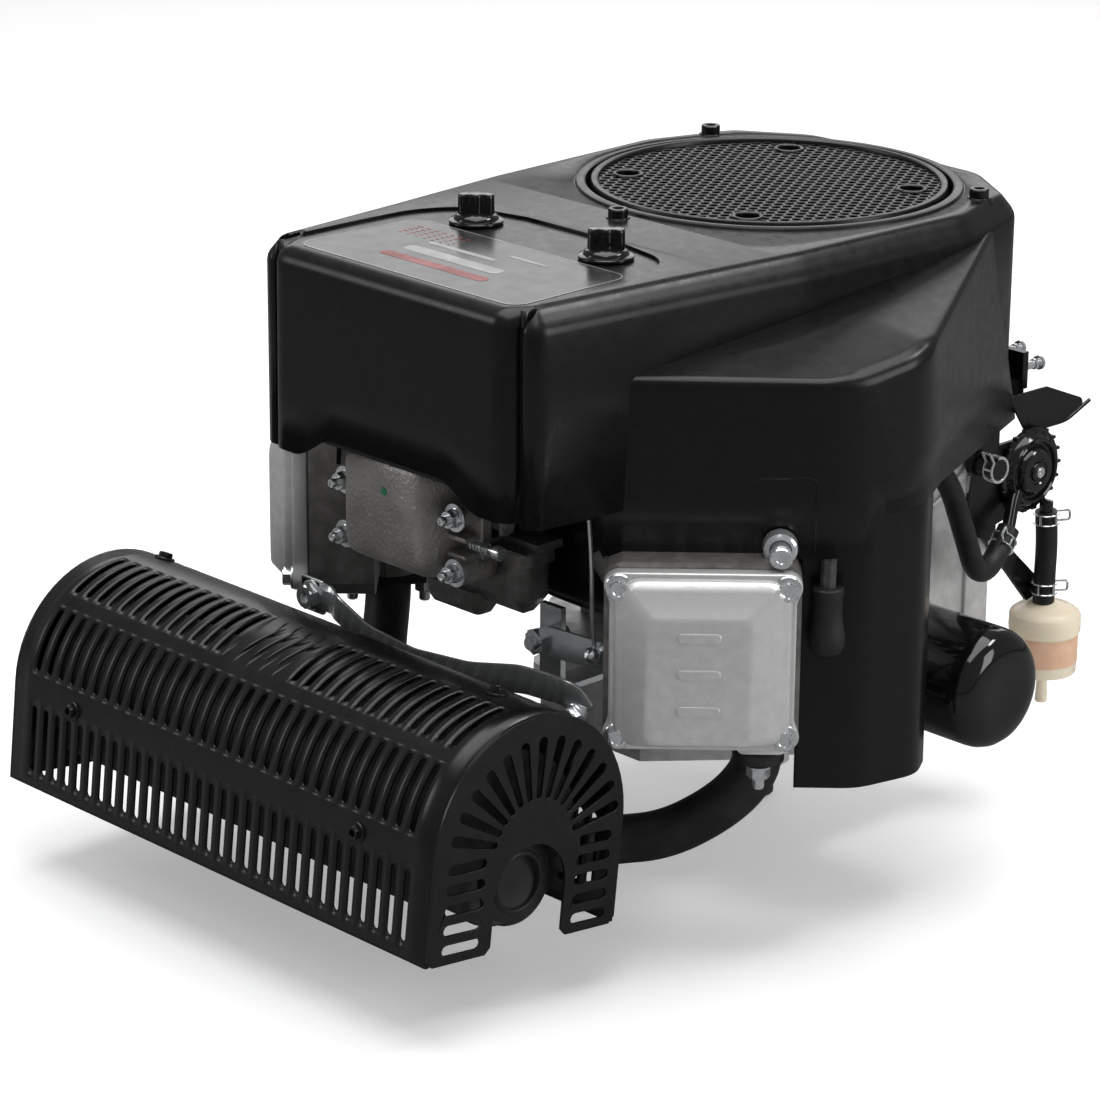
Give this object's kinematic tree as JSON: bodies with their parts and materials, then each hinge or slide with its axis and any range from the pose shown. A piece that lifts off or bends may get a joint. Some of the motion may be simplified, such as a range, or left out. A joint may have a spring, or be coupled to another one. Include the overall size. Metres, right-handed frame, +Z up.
{
  "type": "small gasoline engine",
  "caption": "Vertical-shaft V-twin petrol engine with moulded blower housing, front air cleaner box, low guarded silencer and spin-on oil filter.",
  "frame": {"origin": "where the crankshaft axis meets the underside of the sump's mounting flange", "axes": "+Z up along the crankshaft, away from the output end; -Y towards the front, where the air cleaner and silencer are; +X to the engine's oil filter side"},
  "size_m": [0.461, 0.593, 0.421],
  "materials": {
    "moulding": "satin",
    "black_metal": "satin",
    "casting": "sandblasted",
    "dark_casting": "as cast",
    "bright_casting": "as cast",
    "steel": "zinc plated",
    "iron": "machined",
    "rubber": "matte",
    "gasket": "matte",
    "paper": "pleated paper",
    "clear_plastic": "translucent",
    "gloss_black": "gloss",
    "plug": "plated, white insulator"
  },
  "bodies": {
    "engine": {"sump": "casting", "crankcase": "bright_casting", "head_gasket_right": "gasket", "head_gasket_left": "gasket", "cylinder_head_right": "dark_casting", "cylinder_head_left": "dark_casting", "valve_cover_right": "bright_casting", "valve_cover_left": "dark_casting", "spark_plug_right": "plug", "spark_plug_left": "plug", "spark_lead_right": "rubber", "spark_lead_left": "rubber", "ignition_coil_right": "gloss_black", "ignition_coil_left": "gloss_black", "exhaust_pipe_right": "black_metal", "exhaust_pipe_left": "black_metal", "shroud_right": "moulding", "shroud_left": "moulding", "stator": "iron", "blower_housing": "moulding", "air_cleaner_base": "moulding", "air_filter": "paper", "intake_elbow": "dark_casting", "carburettor": "dark_casting", "float_bowl": "dark_casting", "intake_manifold": "dark_casting", "governor_bracket": "steel", "oil_filter": "gloss_black", "pump_bracket": "black_metal", "fuel_pump": "gloss_black", "fuel_filter": "clear_plastic", "fuel_hose_supply": "rubber", "fuel_hose_delivery": "rubber", "heat_flap": "black_metal", "regulator": "black_metal", "starter_motor": "black_metal", "silencer_guard": "black_metal", "silencer": "black_metal", "guard_strap": "steel"},
    "crank": {"crankshaft_lower": "steel", "crankshaft_upper": "steel", "crank_gear": "iron", "flywheel": "casting", "ring_gear": "steel", "cooling_fan": "moulding", "debris_screen": "moulding"},
    "camshaft": {"camshaft": "iron"},
    "piston_right": {"piston_right": "bright_casting", "connecting_rod_right": "casting"},
    "piston_left": {"piston_left": "bright_casting", "connecting_rod_left": "casting"},
    "starter_drive": {"starter_pinion": "steel"},
    "cleaner_cover": {"air_cleaner_cover": "moulding"},
    "knob_left": {"knob_left": "moulding"},
    "knob_right": {"knob_right": "moulding"},
    "throttle": {"throttle_shaft": "steel"},
    "choke": {"choke_shaft": "steel"},
    "governor_lever": {"governor_lever": "steel"},
    "governor_link": {"governor_link": "steel"}
  },
  "joints": [
    {"name": "crank_spin", "type": "hinge", "parent": "engine", "child": "crank", "pos_m": [0, 0, 0], "axis": [0, 0, 1], "continuous": true},
    {"name": "cam_spin", "type": "hinge", "parent": "engine", "child": "camshaft", "pos_m": [0, -0.084, 0], "axis": [0, 0, 1], "continuous": true},
    {"name": "piston_right_slide", "type": "slide", "parent": "engine", "child": "piston_right", "axis": [0.7071, -0.7071, 0], "range_m": [-0.0539, 0.0121]},
    {"name": "piston_left_slide", "type": "slide", "parent": "engine", "child": "piston_left", "axis": [-0.7071, -0.7071, 0], "range_m": [-0.0539, 0.0121]},
    {"name": "starter_engage", "type": "slide", "parent": "engine", "child": "starter_drive", "axis": [0, 0, 1], "range_m": [0, 0.012], "stiffness_N_per_m": 300, "springref_m": -0.005},
    {"name": "cover_lift", "type": "slide", "parent": "engine", "child": "cleaner_cover", "axis": [0, 0, 1], "range_m": [0, 0.06]},
    {"name": "knob_left_turn", "type": "hinge", "parent": "cleaner_cover", "child": "knob_left", "pos_m": [-0.055, -0.195, 0.34], "axis": [0, 0, 1], "continuous": true},
    {"name": "knob_right_turn", "type": "hinge", "parent": "cleaner_cover", "child": "knob_right", "pos_m": [0.055, -0.195, 0.34], "axis": [0, 0, 1], "continuous": true},
    {"name": "throttle_turn", "type": "hinge", "parent": "engine", "child": "throttle", "pos_m": [0, -0.221, 0.169], "axis": [1, 0, 0], "range_deg": [0, 50]},
    {"name": "choke_turn", "type": "hinge", "parent": "engine", "child": "choke", "pos_m": [0, -0.2465, 0.169], "axis": [1, 0, 0], "range_deg": [0, 75]},
    {"name": "governor_turn", "type": "hinge", "parent": "engine", "child": "governor_lever", "pos_m": [0.039, -0.231, 0.098], "axis": [0, 1, 0], "range_deg": [0, 22], "stiffness_Nm_per_rad": 0.2, "springref_deg": -17.19},
    {"name": "link_swing", "type": "hinge", "parent": "governor_lever", "child": "governor_link", "pos_m": [0.09, -0.2375, 0.104], "axis": [0, 1, 0], "range_deg": [-22, 0]}
  ],
  "couplings": [
    {"joint": "cam_spin", "follows": "crank_spin", "ratio": -0.5},
    {"joint": "throttle_turn", "follows": "governor_turn", "ratio": 2.27},
    {"joint": "link_swing", "follows": "governor_turn", "ratio": -1}
  ]
}
